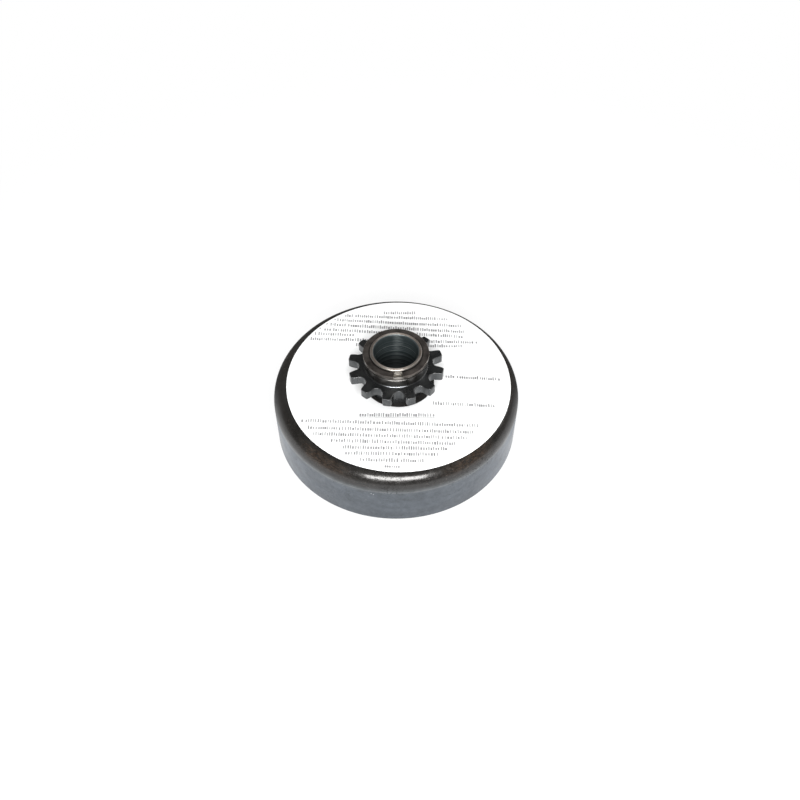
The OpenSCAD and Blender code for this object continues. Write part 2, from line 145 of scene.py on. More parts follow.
class Look:
    """A material with one Principled shader, and short calls for its nodes."""

    def __init__(self, name, metal=0.0, rough=0.5, coat=0.0, coat_rough=0.1):
        self.material = bpy.data.materials.new(name)
        self.material.use_nodes = True
        self.tree = self.material.node_tree
        self.tree.nodes.clear()
        self.out = self.node("ShaderNodeOutputMaterial")
        self.shader = self.node("ShaderNodeBsdfPrincipled")
        self.join(self.shader.outputs[0], self.out.inputs["Surface"])
        self.set("Metallic", metal)
        self.set("Roughness", rough)
        self.set("Coat Weight", coat)
        self.set("Coat Roughness", coat_rough)
        self.place = self.node("ShaderNodeTexCoord").outputs["Object"]

    def join(self, source, target):
        self.tree.links.new(source, target)

    def set(self, socket, value):
        if isinstance(value, bpy.types.NodeSocket):
            self.join(value, self.shader.inputs[socket])
        else:
            self.shader.inputs[socket].default_value = value

    def node(self, kind, inputs=None, **settings):
        return add_node(self.tree, kind, inputs, **settings)

    def math(self, operation, a, b=0.0, c=0.0):
        return self.node("ShaderNodeMath", {0: a, 1: b, 2: c}, operation=operation).outputs[0]

    def ranged(self, value, low, high, out_low=0.0, out_high=1.0):
        """value from low..high to out_low..out_high, held at the ends."""
        made = self.node("ShaderNodeMapRange", {0: value, 1: low, 2: high, 3: out_low, 4: out_high})
        return made.outputs[0]

    def ranged_mm(self, value, low, high, out_low=0.0, out_high=1.0):
        """As ranged, with low and high in millimetres."""
        return self.ranged(value, low * MM, high * MM, out_low, out_high)

    def product(self, value, *factors):
        for factor in factors:
            value = self.math("MULTIPLY", value, factor)
        return value

    def total(self, value, *terms):
        for term in terms:
            value = self.math("ADD", value, term)
        return value

    def height(self):
        return self.node("ShaderNodeSeparateXYZ", {0: self.place}).outputs[2]

    def sideways(self):
        """How far a point is to the right of the axis."""
        return self.node("ShaderNodeSeparateXYZ", {0: self.place}).outputs[0]

    def across(self):
        """How far a point is behind the axis, as the photograph looks at it."""
        return self.node("ShaderNodeSeparateXYZ", {0: self.place}).outputs[1]

    def from_axis(self):
        """Distance from the clutch's axis."""
        split = self.node("ShaderNodeSeparateXYZ", {0: self.place})
        x, y = split.outputs[0], split.outputs[1]
        return self.math("SQRT", self.total(self.product(x, x), self.product(y, y)))

    def noise(self, scale, detail=3.0, rough=0.55, stretch=(1, 1, 1), seed=0.0):
        mapped = self.node("ShaderNodeMapping", {"Vector": self.place, "Scale": stretch,
                                                 "Location": (seed, seed, seed)})
        made = self.node("ShaderNodeTexNoise", {"Vector": mapped.outputs[0], "Scale": scale,
                                                "Detail": detail, "Roughness": rough})
        return made.outputs["Fac"]

    def around(self, per_mm, along_z=True, seed=0.0):
        """Noise that is even round the axis: fine turned rings, by height or by radius."""
        place = self.height() if along_z else self.from_axis()
        vector = self.node("ShaderNodeCombineXYZ", {0: place, 1: seed, 2: seed})
        made = self.node("ShaderNodeTexNoise", {"Vector": vector.outputs[0], "Scale": per_mm / MM,
                                                "Detail": 2.0, "Roughness": 0.6})
        return made.outputs["Fac"]

    def streaks(self, per_mm, tall, seed=0.0):
        """Noise drawn out round the axis, as pressing and handling leave it."""
        split = self.node("ShaderNodeSeparateXYZ", {0: self.place})
        angle = self.math("ARCTAN2", split.outputs[0], self.product(split.outputs[1], -1.0))
        vector = self.node("ShaderNodeCombineXYZ", {
            0: self.product(angle, drum_r * MM), 1: self.product(split.outputs[2], tall), 2: seed})
        made = self.node("ShaderNodeTexNoise", {"Vector": vector.outputs[0], "Scale": per_mm / MM,
                                                "Detail": 3.0, "Roughness": 0.6})
        return made.outputs["Fac"]

    def ramp(self, value, stops):
        made = self.node("ShaderNodeValToRGB", {0: value})
        set_stops(made, stops)
        return made.outputs[0]

    def mix(self, amount, a, b, blend="MIX"):
        made = self.node("ShaderNodeMix", data_type="RGBA", blend_type=blend)
        for key, value in ((0, amount), (6, a), (7, b)):
            if isinstance(value, bpy.types.NodeSocket):
                self.join(value, made.inputs[key])
            else:
                made.inputs[key].default_value = (*value, 1.0) if key else value
        return made.outputs[2]

    def shaded(self, colour, grey):
        """A colour made lighter or darker by a factor."""
        factor = self.node("ShaderNodeCombineColor", {0: grey, 1: grey, 2: grey})
        return self.mix(1.0, colour, factor.outputs[0], "MULTIPLY")

    def bump(self, height, strength=0.3, distance=0.05):
        """A small relief, its depth in mm."""
        made = self.node("ShaderNodeBump", {"Height": height, "Strength": strength,
                                            "Distance": distance * MM})
        self.set("Normal", made.outputs[0])

    def edge_light(self, radius=0.25):
        """0 on flat faces and towards 1 on edges, where handling wears the finish."""
        bevel = self.node("ShaderNodeBevel", {"Radius": radius * MM}, samples=4)
        flat = self.node("ShaderNodeNewGeometry").outputs["Normal"]
        dot = self.node("ShaderNodeVectorMath", {0: bevel.outputs[0], 1: flat}, operation="DOT_PRODUCT")
        return self.ranged(dot.outputs["Value"], 0.995, 0.85)

    def spots(self, points, radius):
        """1 at small marks round the given points, in mm."""
        marks = 0.0
        for point in points:
            gap = self.node("ShaderNodeVectorMath", {0: self.place, 1: [v * MM for v in point]},
                            operation="DISTANCE").outputs["Value"]
            mark = self.ranged(gap, radius * MM, radius * 0.4 * MM)
            marks = self.math("ADD", mark, marks)
        return marks


def drum_wear(look, height, across):
    """The shoulder, and where it is flecked, pitted, rubbed and lightened with painted light, and rusted,
    each 0 to 1.
    """
    on_shoulder = look.ranged_mm(height, 20.0, 23.0)
    handled = look.ranged(look.noise(60, 2, 0.5, seed=5), 0.42, 0.6)
    speck = look.ranged(look.noise(1000, 2, 0.5, seed=9), 0.66, 0.73)
    scratch = look.ranged(look.streaks(0.5, 5.0, 2), 0.6, 0.68, 0.0, 0.8)
    flecks = look.product(look.math("MAXIMUM", speck, scratch), handled,
                          look.ranged_mm(across, -18.0, -34.0, 0.3, 1.0))
    pits = look.product(look.ranged(look.noise(1300, 2, 0.5, seed=12), 0.56, 0.63),
                        look.ranged(look.noise(80, 2, 0.5, seed=15), 0.46, 0.6),
                        look.ranged_mm(height, 16.5, 21.0, 0.25, 1.0),
                        look.ranged_mm(across, -18.0, -34.0, 0.4, 1.0))
    # On the front of the shoulder the colour is lifted in blotchy patches: partly rubbing, partly painted
    # light where the lamp falls.
    near = look.product(look.ranged_mm(across, -8.0, -34.0), on_shoulder)
    rubbed_and_painted_light = look.product(near, look.ranged(look.noise(420, 4, 0.7, seed=21), 0.3, 0.7, 0.35, 0.9))
    side = look.math("ABSOLUTE", look.sideways())
    rust = look.product(look.ranged_mm(side, 17.0, 27.0), look.ranged_mm(side, 41.0, 35.0),
                        look.ranged_mm(height, 22.8, 24.6), look.ranged_mm(height, 27.4, 26.4),
                        near, look.ranged(look.streaks(0.4, 7.0, 11), 0.38, 0.72))
    return on_shoulder, flecks, pits, rubbed_and_painted_light, rust


def drum_outside_look():
    """Grey drawn wall and a shoulder dark and glossy from its oiled oxide, their colours partly painted
    reflection, with a painted highlight between them.
    """
    look = Look("drum_outside")
    height = look.height()
    across = look.across()
    drift = look.ranged(look.noise(60, 4, 0.6), 0.3, 0.7, -0.25 * MM, 0.25 * MM)
    level = look.ranged_mm(look.math("ADD", height, drift), 0.0, drum_h)
    # Colour by height. The dark shoulder and the grey wall are partly the finish's own two tones and partly
    # painted reflection, of a dark room on the shoulder and of the white floor on the wall. The light stop
    # near 0.69, where the wall meets the shoulder, is a painted highlight.
    bands = look.ramp(level, [
        (0.0, (0.085, 0.095, 0.105)), (0.02, (0.096, 0.111, 0.13)), (0.3, (0.096, 0.112, 0.133)),
        (0.62, (0.1, 0.116, 0.136)), (0.672, (0.12, 0.136, 0.152)), (0.692, (0.175, 0.188, 0.198)),
        (0.708, (0.11, 0.118, 0.124)), (0.78, (0.045, 0.045, 0.046)), (0.86, (0.014, 0.013, 0.013)),
        (0.95, (0.018, 0.016, 0.014)), (1.0, (0.022, 0.021, 0.02)),
    ])
    mottle = look.ranged(look.noise(420, 5, 0.7), 0.3, 0.75, 0.76, 1.22)
    smear = look.ranged(look.streaks(0.05, 3.0, 4), 0.3, 0.7, 0.8, 1.16)
    colour = look.shaded(bands, look.product(mottle, smear))
    # Painted reflection: the wall is tinted bluer towards its sides.
    painted_blue_reflection = look.product(look.ranged_mm(across, -46.0, -24.0), look.ranged_mm(across, 8.0, -12.0),
                         look.ranged_mm(height, 21.0, 17.0))
    colour = look.mix(painted_blue_reflection, colour, (0.95, 1.04, 1.14), "MULTIPLY")
    on_shoulder, flecks, pits, rubbed_and_painted_light, rust = drum_wear(look, height, across)
    nicks = look.spots([(-9.2, -53.2, 17.2), (-10.1, -53.0, 17.6)], 0.34)
    colour = look.mix(look.product(flecks, on_shoulder, 0.42), colour, (0.33, 0.25, 0.19))
    colour = look.mix(look.product(flecks, 0.16), colour, (0.4, 0.42, 0.45))
    # Painted light with rubbing: the front of the shoulder made lighter.
    colour = look.mix(rubbed_and_painted_light, colour, (0.034, 0.032, 0.03))
    colour = look.mix(look.product(rust, 0.42), colour, (0.2, 0.13, 0.085))
    colour = look.mix(look.product(pits, 0.65), colour, (0.012, 0.012, 0.012))
    colour = look.mix(look.product(nicks, 0.6), colour, (0.6, 0.62, 0.65))
    look.set("Base Color", colour)
    # The oil has dried matt on the sides and the far side.
    dry = look.product(look.ranged_mm(across, -28.0, -2.0), look.ranged_mm(height, 12.0, 17.0))
    gloss = look.ranged_mm(height, 19.5, 23.0, 0.42, 0.2)
    patchy = look.ranged(look.noise(130, 4, 0.7, seed=7), 0.3, 0.7, -0.04, 0.1)
    look.set("Roughness", look.total(gloss, patchy, look.product(dry, 0.35), look.product(pits, 0.25)))
    # The front's painted light also makes it less metallic there.
    metallic = look.math("SUBTRACT", look.ranged(dry, 0.0, 1.0, 0.85, 0.0), look.product(rubbed_and_painted_light, 0.45))
    look.set("Metallic", look.math("MAXIMUM", metallic, 0.0))
    look.set("Specular IOR Level", look.ranged(dry, 0.0, 1.0, 0.5, 0.05))
    oil = look.ranged(dry, 0.0, 1.0, 0.48, 0.0)
    look.set("Coat Weight", look.product(oil, look.ranged(pits, 0.0, 1.0, 1.0, 0.4)))
    look.set("Coat Roughness", look.ranged(patchy, -0.04, 0.1, 0.09, 0.22))
    look.bump(look.total(look.noise(700, 4, 0.65), look.product(flecks, 0.8)), 0.22, 0.05)
    return look.material


def drum_inside_look():
    """Bare oxide, with a rubbed track where the linings bear on the wall."""
    look = Look("drum_inside", metal=0.9)
    height = look.height()
    rings = look.around(1.3)
    track = look.product(look.ranged_mm(height, 8.6, 10.0), look.ranged_mm(height, 22.4, 21.0),
                         look.ranged_mm(look.from_axis(), 50.2, 50.7),
                         look.ranged(rings, 0.3, 0.65, 0.55, 1.0))
    base = look.ramp(look.noise(140, 5, 0.6), [(0.3, (0.1, 0.1, 0.105)), (0.7, (0.19, 0.19, 0.19))])
    look.set("Base Color", look.mix(track, base, (0.36, 0.345, 0.33)))
    look.set("Roughness", look.ranged(track, 0.0, 1.0, 0.48, 0.3))
    look.bump(look.total(look.product(rings, track), look.noise(600, 3)), 0.15, 0.04)
    return look.material


def metal_look(name, dark, light, metal=1.0, rough=0.35, scale=220, edge=None, painted_shade_r=0.0):
    """A mottled metal finish, with its edges worn to the colour edge, and painted shade inside a radius in
    mm.
    """
    look = Look(name, metal=metal)
    base = look.ramp(look.noise(scale, 5, 0.6), [(0.32, dark), (0.7, light)])
    # Painted shade: inside the given radius the colour goes nearly black, for the shaded gap by the hub's
    # sleeve.
    if painted_shade_r:
        inside = look.ranged_mm(look.from_axis(), painted_shade_r + 0.3, painted_shade_r - 0.3)
        base = look.mix(look.product(inside, 0.85), base, (0.01, 0.009, 0.008))
    if edge:
        worn = look.product(look.edge_light(), look.ranged(look.noise(350, 3), 0.35, 0.6, 0.3, 1.0))
        base = look.mix(worn, base, edge)
    look.set("Base Color", base)
    look.set("Roughness", look.ranged(look.noise(scale * 1.7, 3, 0.6, seed=3), 0.3, 0.7,
                                      rough - 0.06, rough + 0.08))
    look.bump(look.noise(scale * 6, 3, 0.6), 0.12, 0.03)
    return look.material


def sprocket_look():
    """Black oxide on machined steel, with light worn edges on the teeth."""
    look = Look("black_oxide", metal=0.9, coat=0.25, coat_rough=0.2)
    radius = look.from_axis()
    height = look.height()
    base = look.ramp(look.noise(150, 5, 0.6), [(0.32, (0.05, 0.053, 0.056)), (0.7, (0.105, 0.109, 0.111))])
    boss = look.ranged_mm(height, plate_top + 0.2, plate_top + 0.7)
    base = look.mix(look.product(boss, 0.7), base, (0.05, 0.045, 0.04))
    # A painted highlight: a bright line where the front of the boss meets the plate.
    root = look.product(look.ranged_mm(height, plate_top + 0.45, plate_top + 0.2),
                        look.ranged_mm(radius, neck_r + 0.5, neck_r + 0.3),
                        look.ranged_mm(height, plate_top - 0.02, plate_top + 0.03),
                        look.ranged_mm(look.across(), -12.4, -13.5))
    base = look.mix(root, base, (0.45, 0.47, 0.5))
    worn = look.product(look.edge_light(0.3), look.ranged(look.noise(420, 3), 0.35, 0.6, 0.25, 1.0))
    look.set("Base Color", look.mix(worn, base, (0.5, 0.48, 0.45)))
    look.set("Roughness", look.ranged(look.noise(300, 3, 0.6, (1, 1, 0.15), 5), 0.35, 0.7, 0.24, 0.42))
    rings = look.product(look.around(1.6, False, 2.0), look.ranged_mm(radius, 17.0, 16.0))
    look.bump(look.total(rings, look.noise(900, 3)), 0.14, 0.03)
    return look.material


def bore_tone(look, height, rings):
    """The bore's colour: dark rings, one bright ring, and a painted highlight as a broken streak up its far
    side.
    """
    tone = look.ramp(rings, [(0.38, (0.01, 0.014, 0.015)), (0.5, (0.036, 0.047, 0.049)),
                             (0.64, (0.12, 0.14, 0.145))])
    line = look.math("COMPARE", height, 39.8 * MM, 0.12 * MM)
    tone = look.mix(look.product(line, 0.5), tone, (0.3, 0.32, 0.32))
    # Painted highlight: a lighter streak up the bore's far wall, weaker lower down.
    drift = look.ranged(look.noise(200, 4, 0.7, (1, 1, 5), 2), 0.3, 0.7, -1.6 * MM, 1.6 * MM)
    off = look.math("ABSOLUTE", look.math("SUBTRACT", look.total(look.sideways(), drift), 0.45 * MM))
    painted_highlight_streak = look.product(look.ranged_mm(off, 2.6, 0.0), look.ranged_mm(look.across(), 0.0, 5.0),
                          look.ranged(rings, 0.4, 0.58, 0.0, 0.48),
                          look.ranged_mm(height, 33.0, 43.0, 0.4, 1.0))
    return look.mix(painted_highlight_streak, tone, (0.4, 0.44, 0.44))


def hub_look():
    """Turned steel: bright on the end of the sleeve, dark and ringed in the bore, with painted highlights on
    the end and up the bore.
    """
    look = Look("hub_steel")
    radius = look.from_axis()
    height = look.height()
    rings = look.total(look.product(look.around(1.9), 0.5),
                       look.product(look.around(0.8, seed=5.0), 0.5))
    faces = look.around(2.2, False, 3.0)
    base = look.ramp(look.noise(120, 5, 0.6), [(0.3, (0.2, 0.19, 0.175)), (0.72, (0.34, 0.325, 0.3))])
    end = look.product(look.ranged_mm(height, 45.85, 46.1), look.ranged_mm(radius, 11.0, 10.8))
    turned = look.total(look.product(faces, 0.5), look.product(look.noise(260, 4), 0.5))
    end_tone = look.ramp(turned, [(0.3, (0.3, 0.225, 0.18)), (0.5, (0.66, 0.57, 0.5)),
                                  (0.66, (0.95, 0.92, 0.86))])
    # Painted highlight: the sleeve's end is lighter at its front and back than at its sides.
    painted_glint = look.ranged_mm(look.math("ABSOLUTE", look.sideways()), 1.5, 8.5, 1.1, 0.36)
    base = look.mix(end, base, look.shaded(end_tone, painted_glint))
    bore = look.ranged_mm(radius, 9.95, 9.8)
    look.set("Base Color", look.mix(bore, base, bore_tone(look, height, rings)))
    metallic = look.math("SUBTRACT", look.ranged(end, 0.0, 1.0, 0.95, 0.8), look.product(bore, 0.5))
    look.set("Metallic", metallic)
    look.set("Roughness", look.ranged(bore, 0.0, 1.0, 0.34, 0.42))
    look.set("Anisotropic", look.math("MAXIMUM", look.product(bore, 0.7), look.product(end, 0.8)))
    look.set("Tangent", look.node("ShaderNodeTangent", direction_type="RADIAL", axis="Z").outputs[0])
    look.bump(look.total(rings, faces), 0.12, 0.03)
    return look.material


def label_look():
    """Smooth white film."""
    look = Look("label_film", rough=0.32)
    tone = look.ranged(look.noise(25, 3, 0.5), 0.3, 0.7)
    look.set("Base Color", look.ramp(tone, [(0.0, (0.83, 0.835, 0.835)), (1.0, (0.88, 0.88, 0.875))]))
    look.set("Specular IOR Level", 0.35)
    look.bump(look.noise(140, 3, 0.5), 0.03, 0.05)
    return look.material


def ink_look():
    """Soft grey print."""
    look = Look("print_ink")
    tone = look.noise(500, 2, 0.5)
    look.set("Base Color", look.ramp(tone, [(0.35, (0.17, 0.17, 0.175)), (0.65, (0.33, 0.33, 0.335))]))
    return look.material


def iron_look():
    """Sintered iron: fine pores and a steam-blued tone."""
    look = Look("sintered_iron", metal=0.8)
    pores = look.node("ShaderNodeTexVoronoi", {"Vector": look.place, "Scale": 2600.0}).outputs["Distance"]
    base = look.ramp(look.noise(260, 5, 0.65), [(0.3, (0.12, 0.125, 0.135)), (0.7, (0.25, 0.25, 0.255))])
    base = look.mix(look.product(look.edge_light(), 0.5), base, (0.42, 0.42, 0.42))
    pit = look.ranged(pores, 0.22, 0.05, 0.0, 0.75)
    look.set("Base Color", look.mix(pit, base, (0.035, 0.035, 0.04)))
    look.set("Roughness", look.ranged(look.noise(300, 3), 0.3, 0.7, 0.42, 0.6))
    look.bump(pores, 0.25, 0.05)
    return look.material


def lining_look():
    """Moulded friction material with light fibres and brass flecks."""
    look = Look("friction_lining", rough=0.78)
    base = look.ramp(look.noise(500, 6, 0.7), [(0.3, (0.045, 0.032, 0.024)), (0.7, (0.13, 0.095, 0.07))])
    fibre = look.ranged(look.noise(700, 2, 0.5, (1, 1, 6), 6), 0.66, 0.72, 0.0, 0.6)
    fleck = look.ranged(look.noise(900, 1, 0.5, seed=8), 0.7, 0.74)
    base = look.mix(fibre, base, (0.34, 0.29, 0.22))
    look.set("Base Color", look.mix(fleck, base, (0.55, 0.4, 0.17)))
    look.set("Metallic", look.product(fleck, 0.8))
    look.bump(look.noise(900, 4, 0.7), 0.35, 0.06)
    return look.material


def zinc_look():
    """Zinc plate with a light spangle and fine rolling lines."""
    look = Look("zinc_steel", metal=0.95)
    cells = look.node("ShaderNodeTexVoronoi", {"Vector": look.place, "Scale": 1100.0}).outputs["Color"]
    grey = look.node("ShaderNodeSeparateColor", {0: cells}).outputs[0]
    tone = look.total(look.product(grey, 0.35), look.product(look.noise(90, 4), 0.65))
    look.set("Base Color", look.ramp(tone, [(0.25, (0.42, 0.42, 0.44)), (0.7, (0.63, 0.63, 0.65))]))
    look.set("Roughness", look.ranged(tone, 0.2, 0.7, 0.42, 0.28))
    look.bump(look.noise(900, 3, 0.6, (1, 0.08, 1)), 0.1, 0.02)
    return look.material


def floor_look():
    """White to the camera, and still with the clutch's own shadow on it."""
    look = Look("floor_white", rough=0.8)
    path = look.node("ShaderNodeLightPath")
    seen = look.total(path.outputs["Is Camera Ray"], path.outputs["Is Glossy Ray"],
                      path.outputs["Is Transmission Ray"])
    seen = look.math("MINIMUM", seen, 1.0)
    speckle = look.ranged(look.noise(300, 3), 0.3, 0.7, 0.985, 1.0)
    look.set("Base Color", look.shaded((0.86, 0.86, 0.86), speckle))
    glow = look.node("ShaderNodeEmission", {"Color": (1, 1, 1, 1), "Strength": 1.0})
    # Past the clutch's shadow the floor is as white as the background.
    amount = look.product(seen, look.ranged_mm(look.from_axis(), 130.0, 300.0, 0.8, 1.0))
    blend = look.node("ShaderNodeMixShader", {0: amount, 1: look.shader.outputs[0], 2: glow.outputs[0]})
    # From below, the floor lets the clutch's open side show.
    under = look.node("ShaderNodeNewGeometry").outputs["Backfacing"]
    clear = look.node("ShaderNodeBsdfTransparent")
    whole = look.node("ShaderNodeMixShader", {0: under, 1: blend.outputs[0], 2: clear.outputs[0]})
    look.join(whole.outputs[0], look.out.inputs["Surface"])
    return look.material


drum_outside = drum_outside_look()
drum_inside = drum_inside_look()
black_oxide = sprocket_look()
hub_steel = hub_look()
label_film = label_look()
print_ink = ink_look()
sintered_iron = iron_look()
friction_lining = lining_look()
zinc_steel = zinc_look()
# The retaining ring's finish has painted shade inside 11.6 mm, at its inner edge.
phosphate = metal_look("phosphated_spring_steel", (0.036, 0.032, 0.029), (0.125, 0.11, 0.1),
                       metal=0.7, rough=0.33, edge=(0.5, 0.43, 0.36), scale=240, painted_shade_r=11.6)
bronze = metal_look("sintered_bronze", (0.34, 0.2, 0.085), (0.56, 0.36, 0.17), rough=0.38, scale=300)
washer_steel = metal_look("washer_steel", (0.2, 0.185, 0.165), (0.38, 0.36, 0.33), rough=0.34,
                          edge=(0.55, 0.53, 0.5))
rivet_steel = metal_look("rivet_steel", (0.42, 0.42, 0.43), (0.62, 0.62, 0.63), rough=0.32)
pin_steel = metal_look("pin_steel", (0.34, 0.34, 0.35), (0.52, 0.52, 0.53), rough=0.28)
spring_wire = metal_look("spring_wire", (0.34, 0.34, 0.35), (0.6, 0.6, 0.61), rough=0.27, scale=500)


# Mesh helpers

def add_object(name, mesh, materials):
    for material in materials:
        mesh.materials.append(material)
    made = bpy.data.objects.new(name, mesh)
    bpy.context.scene.collection.objects.link(made)
    return made


def face_outwards(mesh):
    work = bmesh.new()
    work.from_mesh(mesh)
    bmesh.ops.recalc_face_normals(work, faces=work.faces)
    work.to_mesh(mesh)
    work.free()
    mesh.shade_smooth()


def mesh_of(name, points, faces, slots=None, closed=True):
    """A smooth mesh in metres from points in millimetres, with its faces outward where it is closed."""
    mesh = bpy.data.meshes.new(name)
    mesh.from_pydata([[v * MM for v in p] for p in points], [], faces)
    if slots:
        mesh.polygons.foreach_set("material_index", slots)
    if closed:
        face_outwards(mesh)
    mesh.update()
    return mesh


def band_faces(bands, columns, count):
    """Quads between columns of points, each column a closed loop of count points."""
    faces = []
    for k in range(bands):
        near = k * count
        far = (k + 1) % columns * count
        for j in range(count):
            nxt = (j + 1) % count
            faces.append((near + j, far + j, far + nxt, near + nxt))
    return faces


def rounded(profile, hold=0.06, steps=4):
    """A closed profile of (r, z, corner radius, slot) with its corners rounded.

    A point is held just off each rounding, so that smooth shading stays on the rounding."""
    rows = []
    count = len(profile)
    for i, (r, z, corner, slot) in enumerate(profile):
        here = Vector((r, z))
        back = Vector(profile[i - 1][:2]) - here
        on = Vector(profile[(i + 1) % count][:2]) - here
        if corner == 0:
            rows.append((here, slot))
            continue
        half = back.angle(on) / 2
        reach = corner / math.tan(half)
        centre = here + (back.normalized() + on.normalized()).normalized() * corner / math.sin(half)
        start = here + back.normalized() * reach
        end = here + on.normalized() * reach
        rows.append((here + back.normalized() * (reach + hold), slot))
        a = start - centre
        b = end - centre
        turn = a.angle(b)
        for k in range(steps + 1):
            t = k / steps
            way = (a * math.sin((1 - t) * turn) + b * math.sin(t * turn)) / math.sin(turn)
            rows.append((centre + way, slot))
        rows.append((here + on.normalized() * (reach + hold), slot))
    return rows


def arc_rows(centre_r, centre_z, radius, start, end, steps, slot=0):
    """Profile points on an arc, with no rounding of their own."""
    rows = []
    for k in range(steps + 1):
        a = math.radians(start + (end - start) * k / steps)
        rows.append((centre_r + radius * math.cos(a), centre_z + radius * math.sin(a), 0, slot))
    return rows


def lathe(name, rows, materials, segments=SEGMENTS, turn=0.0, sweep=360.0):
    """Turns a closed profile about the axis. A sweep under 360 gets end caps."""
    full = sweep >= 360.0
    columns = segments if full else segments + 1
    points = []
    for k in range(columns):
        a = math.radians(turn + sweep * k / segments)
        for point, slot in rows:
            points.append((point[0] * math.cos(a), point[0] * math.sin(a), point[1]))
    count = len(rows)
    faces = band_faces(segments, columns, count)
    slots = [slot for point, slot in rows] * segments
    if not full:
        faces.append(tuple(range(count)))
        faces.append(tuple(segments * count + j for j in reversed(range(count))))
        slots += [0, 0]
    mesh = mesh_of(name, points, faces, slots)
    if not full:
        mesh.set_sharp_from_angle(angle=math.radians(40))
    return add_object(name, mesh, materials)


def place_piece(piece, body, slot, *nodes):
    """Says what a piece rides on and what it stands for; the slot is not used."""
    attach(piece, body)
    if nodes:
        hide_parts(*nodes)


def dressed_copy(node, material, body, slot, bevel):
    """The CAD node with its edges softened."""
    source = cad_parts[node]
    work = bmesh.new()
    work.from_mesh(source.data)
    work.transform(source.matrix_world)
    bmesh.ops.remove_doubles(work, verts=work.verts, dist=0.000002)
    bmesh.ops.dissolve_limit(work, angle_limit=math.radians(0.4), verts=work.verts, edges=work.edges)
    bmesh.ops.recalc_face_normals(work, faces=work.faces)
    mesh = bpy.data.meshes.new(node + "_dressed")
    work.to_mesh(mesh)
    work.free()
    mesh.shade_smooth()
    piece = add_object(node + "_dressed", mesh, [material])
    cut = piece.modifiers.new("soft_edges", "BEVEL")
    cut.width = bevel * MM
    cut.segments = 2
    cut.limit_method = "ANGLE"
    cut.angle_limit = math.radians(35)
    cut.use_clamp_overlap = False
    cut.miter_outer = "MITER_ARC"
    even = piece.modifiers.new("even_faces", "WEIGHTED_NORMAL")
    even.weight = 90
    even.keep_sharp = True
    bpy.context.view_layer.update()
    graph = bpy.context.evaluated_depsgraph_get()
    final = bpy.data.meshes.new_from_object(piece.evaluated_get(graph))
    piece.modifiers.clear()
    piece.data = final
    place_piece(piece, body, slot, node)


# Node trees

class Growth:
    """A Geometry Nodes tree with one geometry in and out, and named inputs."""

    def __init__(self, name):
        self.tree = bpy.data.node_groups.new(name, "GeometryNodeTree")
        self.tree.interface.new_socket("Geometry", in_out="INPUT", socket_type="NodeSocketGeometry")
        self.tree.interface.new_socket("Geometry", in_out="OUTPUT", socket_type="NodeSocketGeometry")
        self.names = {}
        self.start = self.tree.nodes.new("NodeGroupInput")
        self.end = self.tree.nodes.new("NodeGroupOutput")

    def input(self, name, kind, value):
        made = self.tree.interface.new_socket(name, in_out="INPUT", socket_type="NodeSocket" + kind)
        made.default_value = value
        self.names[name] = made.identifier
        return self.start.outputs[name]

    def node(self, kind, inputs=None, **settings):
        return add_node(self.tree, kind, inputs, **settings)

    def finish(self, geometry, material):
        real = self.node("GeometryNodeRealizeInstances", {0: geometry})
        dressed = self.node("GeometryNodeSetMaterial", {0: real.outputs[0], "Material": material})
        self.tree.links.new(dressed.outputs[0], self.end.inputs[0])

    def grow(self, name, source, values):
        """The tree's result on an object's data, as a mesh object of its own."""
        modifier = source.modifiers.new("growth", "NODES")
        modifier.node_group = self.tree
        for key, value in values.items():
            modifier[self.names[key]] = value
        bpy.context.view_layer.update()
        graph = bpy.context.evaluated_depsgraph_get()
        mesh = bpy.data.meshes.new_from_object(source.evaluated_get(graph))
        mesh.name = name
        source.modifiers.remove(modifier)
        bpy.data.objects.remove(source)
        made = bpy.data.objects.new(name, mesh)
        bpy.context.scene.collection.objects.link(made)
        return made


# Drum and label

def skin_height(radius, lift=0.0):
    """Height of the drum's skin at a radius, and lift outside it."""
    flat = drum_r - shoulder_r
    if radius <= flat:
        return drum_h + lift
    return drum_h - shoulder_r + math.sqrt((shoulder_r + lift) ** 2 - (radius - flat) ** 2)


def make_drum():
    """The pressed cup, its outside and inside in one closed skin."""
    rim = 0.3
    # Points held on the flat of the face and the wall.
    face_r, wall_z = 30.0, 10.0
    inner_r = drum_r - drum_wall
    corner = shoulder_r - drum_wall
    profile = [(drum_hole_r, drum_h, 0.1, 0), (drum_hole_r, drum_h - drum_wall, 0.1, 1)]
    profile += [(face_r, drum_h - drum_wall, 0, 1)]
    profile += arc_rows(inner_r - corner, drum_h - shoulder_r, corner, 90, 0, 14, 1)
    profile += [(inner_r, wall_z, 0, 1), (inner_r, 0.0, 0.15, 1), (drum_r - rim, 0.0, 0.1, 0)]
    profile += [(drum_r, rim, 0.2, 0), (drum_r, wall_z, 0, 0)]
    profile += arc_rows(drum_r - shoulder_r, drum_h - shoulder_r, shoulder_r, 0, 90, 24, 0)
    profile += [(face_r, drum_h, 0, 0)]
    piece = lathe("drum_shell", rounded(profile), [drum_outside, drum_inside])
    place_piece(piece, "drum_assembly", "drum_steel", "drum")


